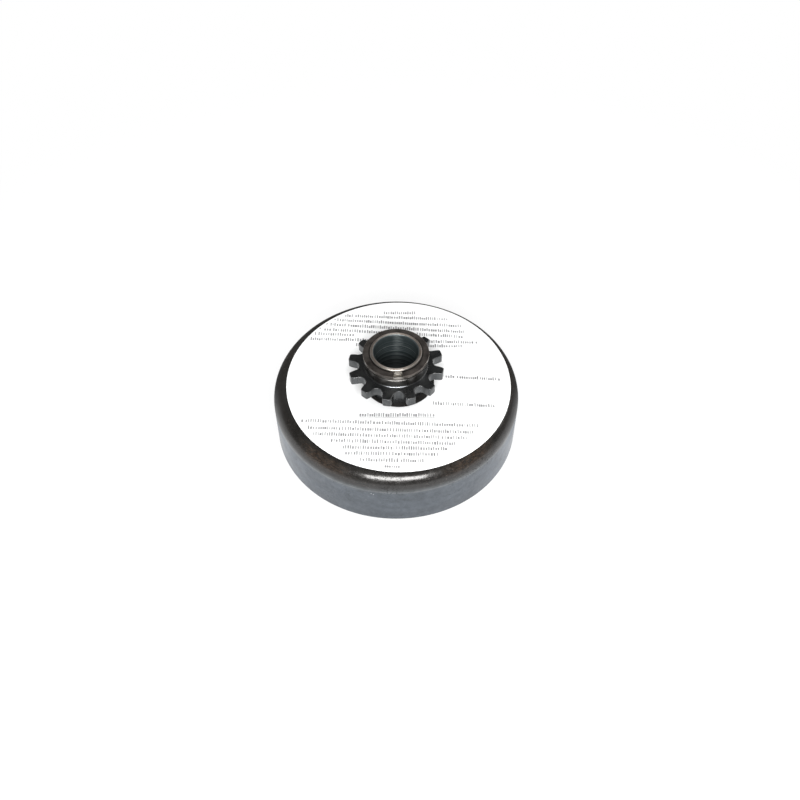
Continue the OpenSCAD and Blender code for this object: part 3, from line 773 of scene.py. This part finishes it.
def make_label():
    """A thin film round its own centre, which follows the drum's skin down to the shoulder."""
    steps = [label_hole_r, label_hole_r + 0.05, label_hole_r + 0.15]
    steps += [label_hole_r + 0.15 + (label_r - 0.3 - label_hole_r) * k / 40 for k in range(1, 41)]
    steps += [label_r - 0.04, label_r]
    edge_drop = {0: 0.5, 1: 0.12, len(steps) - 2: 0.12, len(steps) - 1: 0.5}
    rows = []
    for i, r in enumerate(steps):
        rows.append((r, label_gap + label_t * (1 - edge_drop.get(i, 0.0))))
    for r in reversed(steps):
        rows.append((r, label_gap))
    points = []
    for k in range(SEGMENTS):
        a = math.tau * k / SEGMENTS
        for r, lift in rows:
            x = label_shift + r * math.cos(a)
            y = label_low + r * math.sin(a)
            points.append((x, y, skin_height(math.hypot(x, y), lift)))
    mesh = mesh_of("label_sheet", points, band_faces(SEGMENTS, SEGMENTS, len(rows)))
    mesh.set_sharp_from_angle(angle=math.radians(60))
    piece = add_object("label_sheet", mesh, [label_film])
    place_piece(piece, "drum_assembly", "label_film", "face_label")


# Rows of the label's print, as the ends of each, in mm.
print_rows = [
    (-5.6, 41.4, 10.2, 41.4), (-23.5, 39.7, 23.4, 37.3), (-28.3, 37.0, 29.5, 32.9),
    (-31.9, 34.1, 32.2, 29.0), (-35.0, 31.0, 31.2, 25.9), (-36.9, 28.0, -19.7, 27.2),
    (-38.7, 24.7, 36.3, 22.5), (-17.9, 21.0, 29.3, 20.1), (-15.1, -19.9, 15.9, -20.1),
    (-39.5, -22.9, 34.1, -25.7), (-36.6, -26.7, 33.9, -29.3), (-34.2, -30.0, 30.4, -32.3),
    (-26.6, -33.5, 25.1, -35.2), (-21.6, -37.0, 20.6, -37.9), (-20.4, -40.1, 16.9, -40.7),
    (-14.5, -43.4, 11.3, -44.1), (-4.2, -46.6, 3.0, -46.8), (22.0, 1.9, 45.0, 0.2),
    (16.0, -13.4, 43.0, -15.1),
]


def block_shapes(growth, width, tall):
    """Four plain blocks of different widths, heights and levels, to pick from."""
    shapes = growth.node("GeometryNodeGeometryToInstance")
    for across, along, lift in ((0.8, 0.92, -0.04), (1.0, 0.7, -0.15), (0.6, 0.86, -0.07),
                                (1.0, 0.66, -0.17)):
        wide = growth.node("ShaderNodeMath", {0: width, 1: across}, operation="MULTIPLY")
        deep = growth.node("ShaderNodeMath", {0: tall, 1: along}, operation="MULTIPLY")
        up = growth.node("ShaderNodeMath", {0: tall, 1: lift}, operation="MULTIPLY")
        size = growth.node("ShaderNodeCombineXYZ", {0: wide.outputs[0], 1: deep.outputs[0], 2: tick_t * MM})
        place = growth.node("ShaderNodeCombineXYZ", {1: up.outputs[0]})
        block = growth.node("GeometryNodeMeshCube", {"Size": size.outputs[0]})
        moved = growth.node("GeometryNodeTransform", {"Geometry": block.outputs["Mesh"],
                                                      "Translation": place.outputs[0]})
        growth.tree.links.new(moved.outputs[0], shapes.inputs[0])
    return shapes


def print_lines():
    """A line of points for each group of blocks, on the label's skin."""
    draw = random.Random(7)
    points, edges = [], []
    for x0, y0, x1, y1 in print_rows:
        length = math.hypot(x1 - x0, y1 - y0)
        at = 0.0
        while at < length - shortest_group:
            group = min(draw.uniform(*group_lengths), length - at)
            for s in (at, at + group):
                x = x0 + (x1 - x0) * s / length
                y = y0 + (y1 - y0) * s / length
                points.append((x * MM, y * MM, skin_height(math.hypot(x, y), label_gap + label_t) * MM))
            edges.append((len(points) - 2, len(points) - 1))
            at += group + draw.uniform(*group_gaps)
    mesh = bpy.data.meshes.new("print_lines")
    mesh.from_pydata(points, edges, [])
    return add_object("print_lines", mesh, [])


def make_print():
    """Faint plain blocks along each row of print, in groups, with no lettering, and one thin rule."""
    growth = Growth("print_growth")
    spacing = growth.input("Tick Spacing", "Float", tick_spacing * MM)
    width = growth.input("Tick Width", "Float", tick_w * MM)
    tall = growth.input("Tick Height", "Float", tick_h * MM)
    seed = growth.input("Seed", "Int", 3)
    curve = growth.node("GeometryNodeMeshToCurve", {0: growth.start.outputs[0]})
    spots = growth.node("GeometryNodeCurveToPoints", {"Curve": curve.outputs[0], "Length": spacing},
                        mode="LENGTH")
    scale = growth.node("FunctionNodeRandomValue", {0: (0.75, 0.9, 1.0), 1: (1.08, 1.08, 1.0), "Seed": seed},
                        data_type="FLOAT_VECTOR")
    pick = growth.node("FunctionNodeRandomValue", {4: 0, 5: 3, "Seed": seed}, data_type="INT")
    copies = growth.node("GeometryNodeInstanceOnPoints", {
        "Points": spots.outputs["Points"], "Instance": block_shapes(growth, width, tall).outputs[0],
        "Pick Instance": True, "Instance Index": pick.outputs[2], "Scale": scale.outputs["Value"]})
    growth.finish(copies.outputs[0], print_ink)
    piece = growth.grow("print_ticks", print_lines(), {
        "Tick Spacing": tick_spacing * MM, "Tick Width": tick_w * MM, "Tick Height": tick_h * MM, "Seed": 3})
    place_piece(piece, "drum_assembly", "label_film")
    low = drum_h + label_gap + label_t - 0.01
    points = [(x, y, z) for z in (low, low + tick_t) for x, y in rule_corners]
    faces = [(3, 2, 1, 0), (4, 5, 6, 7), (0, 1, 5, 4), (1, 2, 6, 5), (2, 3, 7, 6), (3, 0, 4, 7)]
    rule = mesh_of("print_rule", points, faces)
    rule.set_sharp_from_angle(angle=math.radians(30))
    place_piece(add_object("print_rule", rule, [print_ink]), "drum_assembly", "label_film")


# Sprocket

pitch_r = chain_pitch / 2 / math.sin(math.pi / teeth)
tip_r = chain_pitch * (0.6 + 1 / math.tan(math.pi / teeth)) / 2
seat_r = 0.5025 * roller_d + 0.04
swing_r = chain_pitch - seat_r


def half_tooth_outline():
    """From the bottom of a seat to the middle of the next tooth, with the seat along +X.

    The seat is a roller's arc, and the flank is the arc that a roller swings about the next seat."""
    step = math.tau / teeth
    own = Vector((pitch_r, 0.0))
    other = Vector((pitch_r * math.cos(step), pitch_r * math.sin(step)))
    # The seat's arc meets the flank on the line between the two seats.
    line = (other - own).normalized()
    meet = math.atan2(line.y, line.x)
    points = []
    for k in range(12):
        a = math.pi - (math.pi - meet) * k / 11
        points.append(own + seat_r * Vector((math.cos(a), math.sin(a))))
    start = math.atan2(*(points[-1] - other).yx)
    # The flank ends on the tip circle.
    reach = other.length
    cos_tip = (tip_r ** 2 + reach ** 2 - swing_r ** 2) / (2 * tip_r * reach)
    tip_turn = step - math.acos(cos_tip)
    tip = tip_r * Vector((math.cos(tip_turn), math.sin(tip_turn)))
    end = math.atan2(*(tip - other).yx)
    if end < start:
        end += math.tau
    for k in range(1, 12):
        a = start + (end - start) * k / 11
        points.append(other + swing_r * Vector((math.cos(a), math.sin(a))))
    for k in range(1, 5):
        a = tip_turn + (step / 2 - tip_turn) * k / 4
        points.append(tip_r * Vector((math.cos(a), math.sin(a))))
    return points


def smooth_line(points):
    """Softens a line of points a little, with its ends held."""
    inner = [points[i] * 0.5 + (points[i - 1] + points[i + 1]) * 0.25 for i in range(1, len(points) - 1)]
    return [points[0]] + inner + [points[-1]]


def inset_line(points, depth):
    """The outline moved inwards, square to itself."""
    moved = []
    for i, p in enumerate(points):
        before = points[max(i - 1, 0)]
        after = points[min(i + 1, len(points) - 1)]
        along = (after - before).normalized()
        moved.append(p + Vector((-along.y, along.x)) * depth)
    return moved


def quarter(steps):
    """A quarter turn's rounding as pairs from (0, 0) to (1, 1), at even angles."""
    turns = [math.radians(90 * k / steps) for k in range(steps + 1)]
    return [(1 - math.cos(a), 1 - math.sin(a)) for a in turns]


def make_sprocket():
    """One pitch of the sprocket, from bore to teeth, copied round by a node tree."""
    half = half_tooth_outline()
    step = math.tau / teeth
    mirror = []
    for p in reversed(half[:-1]):
        a = step - math.atan2(p.y, p.x)
        mirror.append(p.length * Vector((math.cos(a), math.sin(a))))
    outline = smooth_line(half + mirror)
    columns = len(outline)
    angles = [math.atan2(p.y, p.x) for p in outline]
    angles[0], angles[-1] = 0.0, step
    edge, root, chamfer = 0.28, 0.35, 0.4

    def circle_row(radius, z):
        return [(radius * math.cos(a), radius * math.sin(a), z) for a in angles]

    def outline_row(depth, z):
        row = inset_line(outline, depth)
        row[0] = Vector((row[0].length, 0.0))
        row[-1] = row[0].length * Vector((math.cos(step), math.sin(step)))
        return [(p.x, p.y, z) for p in row]

    def circle_rows(sizes):
        return [circle_row(radius, z) for radius, z in sizes]

    # The rolled lip behind the drum's face, the spigot and the neck.
    rows = circle_rows([
        (sprocket_bore_r, lip_z + 0.1), (sprocket_bore_r + 0.1, lip_z),
        (spigot_r + 0.7, lip_z), (spigot_r + 0.8, lip_z + 0.1),
        (spigot_r + 1.52, lip_z + 1.0), (spigot_r + 1.5, lip_z + 1.18),
        (spigot_r + 1.35, lip_z + 1.18), (spigot_r, lip_z + 1.18),
        (spigot_r, drum_h + label_gap), (neck_r - 0.1, drum_h + label_gap),
        (neck_r, drum_h + 0.12), (neck_r, drum_h + 0.4), (neck_r, plate_z - root - 0.3)])
    for out, down in quarter(5):
        rows.append(circle_row(neck_r + root * out, plate_z - root * down))
    rows.append(circle_row(neck_r + root + 0.3, plate_z))
    # The toothed plate, with its edges rounded.
    rows.append(outline_row(edge + 0.12, plate_z))
    for up, depth in quarter(4):
        rows.append(outline_row(edge * depth, plate_z + edge * up))
    rows.append(outline_row(0.0, plate_z + edge + 0.1))
    rows.append(outline_row(0.0, plate_top - edge - 0.1))
    for depth, down in quarter(4):
        rows.append(outline_row(edge * depth, plate_top - edge * down))
    rows.append(outline_row(edge + 0.12, plate_top))
    # The boss and the bore.
    rows.append(circle_row(neck_r + root + 0.3, plate_top))
    for up, out in quarter(5):
        rows.append(circle_row(neck_r + root * out, plate_top + root * up))
    rows += circle_rows([
        (neck_r, plate_top + root + 0.2), (neck_r, boss_top - chamfer - 0.15),
        (neck_r, boss_top - chamfer - 0.05), (neck_r - 0.04, boss_top - chamfer),
        (neck_r - chamfer + 0.02, boss_top - 0.04), (neck_r - chamfer - 0.05, boss_top),
        (neck_r - chamfer - 0.15, boss_top), (sprocket_bore_r + 0.2, boss_top),
        (sprocket_bore_r + 0.1, boss_top), (sprocket_bore_r, boss_top - 0.1),
        (sprocket_bore_r, boss_top - 0.2), (sprocket_bore_r, lip_z + 0.2)])
    points = [p for row in rows for p in row]
    faces = []
    for i in range(len(rows)):
        low = i * columns
        high = (i + 1) % len(rows) * columns
        for j in range(columns - 1):
            faces.append((low + j, low + j + 1, high + j + 1, high + j))
    wedge = add_object("tooth_wedge", mesh_of("tooth_wedge", points, faces, closed=False), [])
    growth = Growth("tooth_growth")
    count = growth.input("Teeth", "Int", teeth)
    first = growth.input("First Tooth", "Float", 0.0)
    spots = growth.node("GeometryNodePoints", {"Count": count})
    index = growth.node("GeometryNodeInputIndex")
    pitch = growth.node("ShaderNodeMath", {0: math.tau, 1: count}, operation="DIVIDE")
    turn = growth.node("ShaderNodeMath", {0: index.outputs[0], 1: pitch.outputs[0], 2: first},
                       operation="MULTIPLY_ADD")
    way = growth.node("ShaderNodeCombineXYZ", {2: turn.outputs[0]})
    copies = growth.node("GeometryNodeInstanceOnPoints", {
        "Points": spots.outputs[0], "Instance": growth.start.outputs[0], "Rotation": way.outputs[0]})
    real = growth.node("GeometryNodeRealizeInstances", {0: copies.outputs[0]})
    closed = growth.node("GeometryNodeMergeByDistance", {"Geometry": real.outputs[0], "Distance": 0.000004})
    growth.finish(closed.outputs[0], black_oxide)
    piece = growth.grow("toothed_sprocket", wedge, {
        "Teeth": teeth, "First Tooth": math.radians(tooth_turn + 180 / teeth)})
    face_outwards(piece.data)
    place_piece(piece, "drum_assembly", "black_oxide", "sprocket")


# Ring, washers and bushing

def make_retaining_ring():
    """A square-edged ring with a gap."""
    profile = [(ring_in_r, ring_z, 0.12, 0), (ring_r, ring_z, 0.15, 0),
               (ring_r, ring_z + ring_t, 0.15, 0), (ring_in_r, ring_z + ring_t, 0.12, 0)]
    middle = (ring_r + ring_in_r) / 2
    open_half = math.degrees(math.asin(ring_gap / 2 / middle))
    piece = lathe("retaining_ring_turned", rounded(profile, 0.05, 3), [phosphate], 200,
                  ring_turn + open_half, 360 - 2 * open_half)
    place_piece(piece, "driver", "spring_steel", "retaining_ring")


def make_plain_ring(name, node, inner, body, slot, material):
    """A plain ring, its outside and its ends read from the CAD node's box."""
    corner = 0.1
    low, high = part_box(node)
    outer = round((high.x - low.x) / MM / 2, 2)
    bottom, top = low.z / MM, high.z / MM
    profile = [(inner, bottom, corner, 0), (outer, bottom, corner, 0), (outer, top, corner, 0),
               (inner, top, corner, 0)]
    piece = lathe(name, rounded(profile, 0.05, 3), [material], 192)
    place_piece(piece, body, slot, node)


# Springs

def spring_path():
    """Half of a spring's wire in millimetres, from its middle to the loop: x along, y outwards."""
    dist = pin_r * math.cos(math.radians(pin_angle))
    half = pin_r * math.sin(math.radians(pin_angle))
    loop_mid = half + pin_neck_r + loop_gap + wire_d / 2 - coil_r
    coil_len = 2 * (loop_mid - coil_r - wire_d / 2)
    turns = math.floor(coil_len / coil_pitch)
    side = math.cos(math.pi * turns)
    steps = 24
    points = []
    last = int(turns * steps / 2)
    for k in range(last + 1):
        turn = k / steps * math.tau
        points.append(Vector((coil_len * turn / (math.tau * turns), coil_r * math.cos(turn + math.pi / 2),
                              coil_r * math.sin(turn + math.pi / 2))))
    # The loop's turn, from the side that the coil rises to.
    low, high = math.radians(-100), math.radians(205)

    def on_loop(a):
        return Vector((loop_mid + coil_r * math.cos(a), side * coil_r * math.sin(a), 0.0))

    first = Vector((coil_len / 2, 0.0, side * coil_r))
    start = on_loop(low)
    pull = coil_r * 1.4
    leave = Vector((0.0, -side * pull, 0.0))
    arrive = Vector((-math.sin(low), side * math.cos(low), 0.0)) * pull
    for k in range(1, 10):
        t = k / 10
        points.append((2 * t ** 3 - 3 * t ** 2 + 1) * first + (t ** 3 - 2 * t ** 2 + t) * leave
                      + (3 * t ** 2 - 2 * t ** 3) * start + (t ** 3 - t ** 2) * arrive)
    for k in range(29):
        points.append(on_loop(low + (high - low) * k / 28))
    return dist, half, points


def spring_growth():
    """Sweeps round wire along a line, with capped ends."""
    growth = Growth("wire_growth")
    radius = growth.input("Wire Radius", "Float", wire_d / 2 * MM)
    sides = growth.input("Sides", "Int", 14)
    ring = growth.node("GeometryNodeCurvePrimitiveCircle", {"Resolution": sides, "Radius": radius})
    swept = growth.node("GeometryNodeCurveToMesh", {
        "Curve": growth.start.outputs[0], "Profile Curve": ring.outputs[0], "Fill Caps": True})
    growth.finish(swept.outputs[0], spring_wire)
    return growth


def make_springs():
    """Each spring is two halves, and each half stretches between its shoe and the middle."""
    dist, half, path = spring_path()
    growth = spring_growth()
    for i in range(3):
        turn = Matrix.Rotation(math.radians(shoe_turns[i] + shoe_step / 2), 3, "Z")
        for end, name in ((1, "far"), (-1, "near")):
            curve = bpy.data.curves.new("wire_line", "CURVE")
            curve.dimensions = "3D"
            line = curve.splines.new("POLY")
            line.points.add(len(path) - 1)
            for point, p in zip(line.points, path):
                place = turn @ Vector((dist + p.y * end, p.x * end, p.z))
                point.co = (place.x * MM, place.y * MM, (place.z + spring_z) * MM, 1.0)
            source = bpy.data.objects.new("wire_line", curve)
            bpy.context.scene.collection.objects.link(source)
            piece = growth.grow("spring_%d_%s_half" % (i + 1, name), source,
                                {"Wire Radius": wire_d / 2 * MM, "Sides": 14})
            face_outwards(piece.data)
            piece.data.set_sharp_from_angle(angle=math.radians(50))
            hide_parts("spring_%d" % (i + 1))
            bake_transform(piece)


# Floor and light

def make_floor():
    """A wide sheet, a hair below the drum's rim."""
    half, low = 2.0, -0.00002
    mesh = bpy.data.meshes.new("floor")
    mesh.from_pydata([(-half, -half, low), (half, -half, low), (half, half, low), (-half, half, low)],
                     [], [(0, 1, 2, 3)])
    add_object("floor", mesh, [floor_look()])


def make_light(name, place, aim, wide, tall, power):
    """A soft rectangular lamp, turned to what it lights, in metres and watts."""
    data = bpy.data.lights.new(name, "AREA")
    data.shape = "RECTANGLE"
    data.size = wide
    data.size_y = tall
    data.energy = power
    lamp = bpy.data.objects.new(name, data)
    lamp.location = place
    lamp.rotation_mode = "QUATERNION"
    lamp.rotation_quaternion = (Vector(aim) - Vector(place)).to_track_quat("-Z", "Y")
    bpy.context.scene.collection.objects.link(lamp)


def make_world():
    """White behind, soft light all round, and darker overhead in reflections."""
    world = bpy.data.worlds.new("studio")
    bpy.context.scene.world = world
    world.use_nodes = True
    tree = world.node_tree
    tree.nodes.clear()

    def node(kind, inputs=None):
        return add_node(tree, kind, inputs)

    way = node("ShaderNodeTexCoord").outputs["Generated"]
    up = node("ShaderNodeSeparateXYZ", {0: way}).outputs[2]
    ramp = node("ShaderNodeValToRGB", {0: up})
    levels = [(0.0, 0.38), (0.1, 0.24), (0.3, 0.1), (1.0, 0.06)]
    set_stops(ramp, [(at, (level * 1.04, level, level * 0.95)) for at, level in levels])
    path = node("ShaderNodeLightPath")
    soft = node("ShaderNodeBackground", {"Color": (1, 1, 1, 1), "Strength": 0.84})
    dome = node("ShaderNodeBackground", {"Color": ramp.outputs[0], "Strength": 1.0})
    white = node("ShaderNodeBackground", {"Color": (1, 1, 1, 1), "Strength": 1.0})
    glossy = node("ShaderNodeMixShader", {0: path.outputs["Is Glossy Ray"], 1: soft.outputs[0],
                                          2: dome.outputs[0]})
    seen = node("ShaderNodeMixShader", {0: path.outputs["Is Camera Ray"], 1: glossy.outputs[0],
                                        2: white.outputs[0]})
    node("ShaderNodeOutputWorld", {0: seen.outputs[0]})


# The clutch

make_drum()
make_label()
make_print()
make_sprocket()
make_retaining_ring()
make_plain_ring("thrust_washer", "outer_washer", washer_in_r, "driver", "washer_steel", washer_steel)
make_plain_ring("inner_washer_turned", "inner_washer", washer_in_r, "driver", "washer_steel",
                washer_steel)
make_plain_ring("bushing_turned", "bushing", bushing_in_r, "drum_assembly", "bronze", bronze)
make_springs()
dressed_copy("hub", hub_steel, "driver", "hub_steel", 0.2)
dressed_copy("guide_plate", zinc_steel, "driver", "zinc_steel", 0.12)
dressed_copy("retainer_plate", zinc_steel, "driver", "zinc_steel", 0.15)
dressed_copy("plate_rivets", rivet_steel, "driver", "rivet_steel", 0.1)
for number in (1, 2, 3):
    shoe_body = "shoe_%d" % number
    dressed_copy("shoe_%d" % number, sintered_iron, shoe_body, "sintered_iron", 0.2)
    dressed_copy("lining_%d" % number, friction_lining, shoe_body, "friction_lining", 0.15)
    dressed_copy("spring_pins_%d" % number, pin_steel, shoe_body, "pin_steel", 0.08)

make_floor()
make_world()
make_light("key", (0.0, -0.55, 0.42), (0, -0.04, 0.02), wide=0.5, tall=0.2, power=6.4)
make_light("fill", (0.5, 0.25, 0.5), (0, 0, 0.02), wide=0.4, tall=0.4, power=1.2)

bpy.context.view_layer.update()
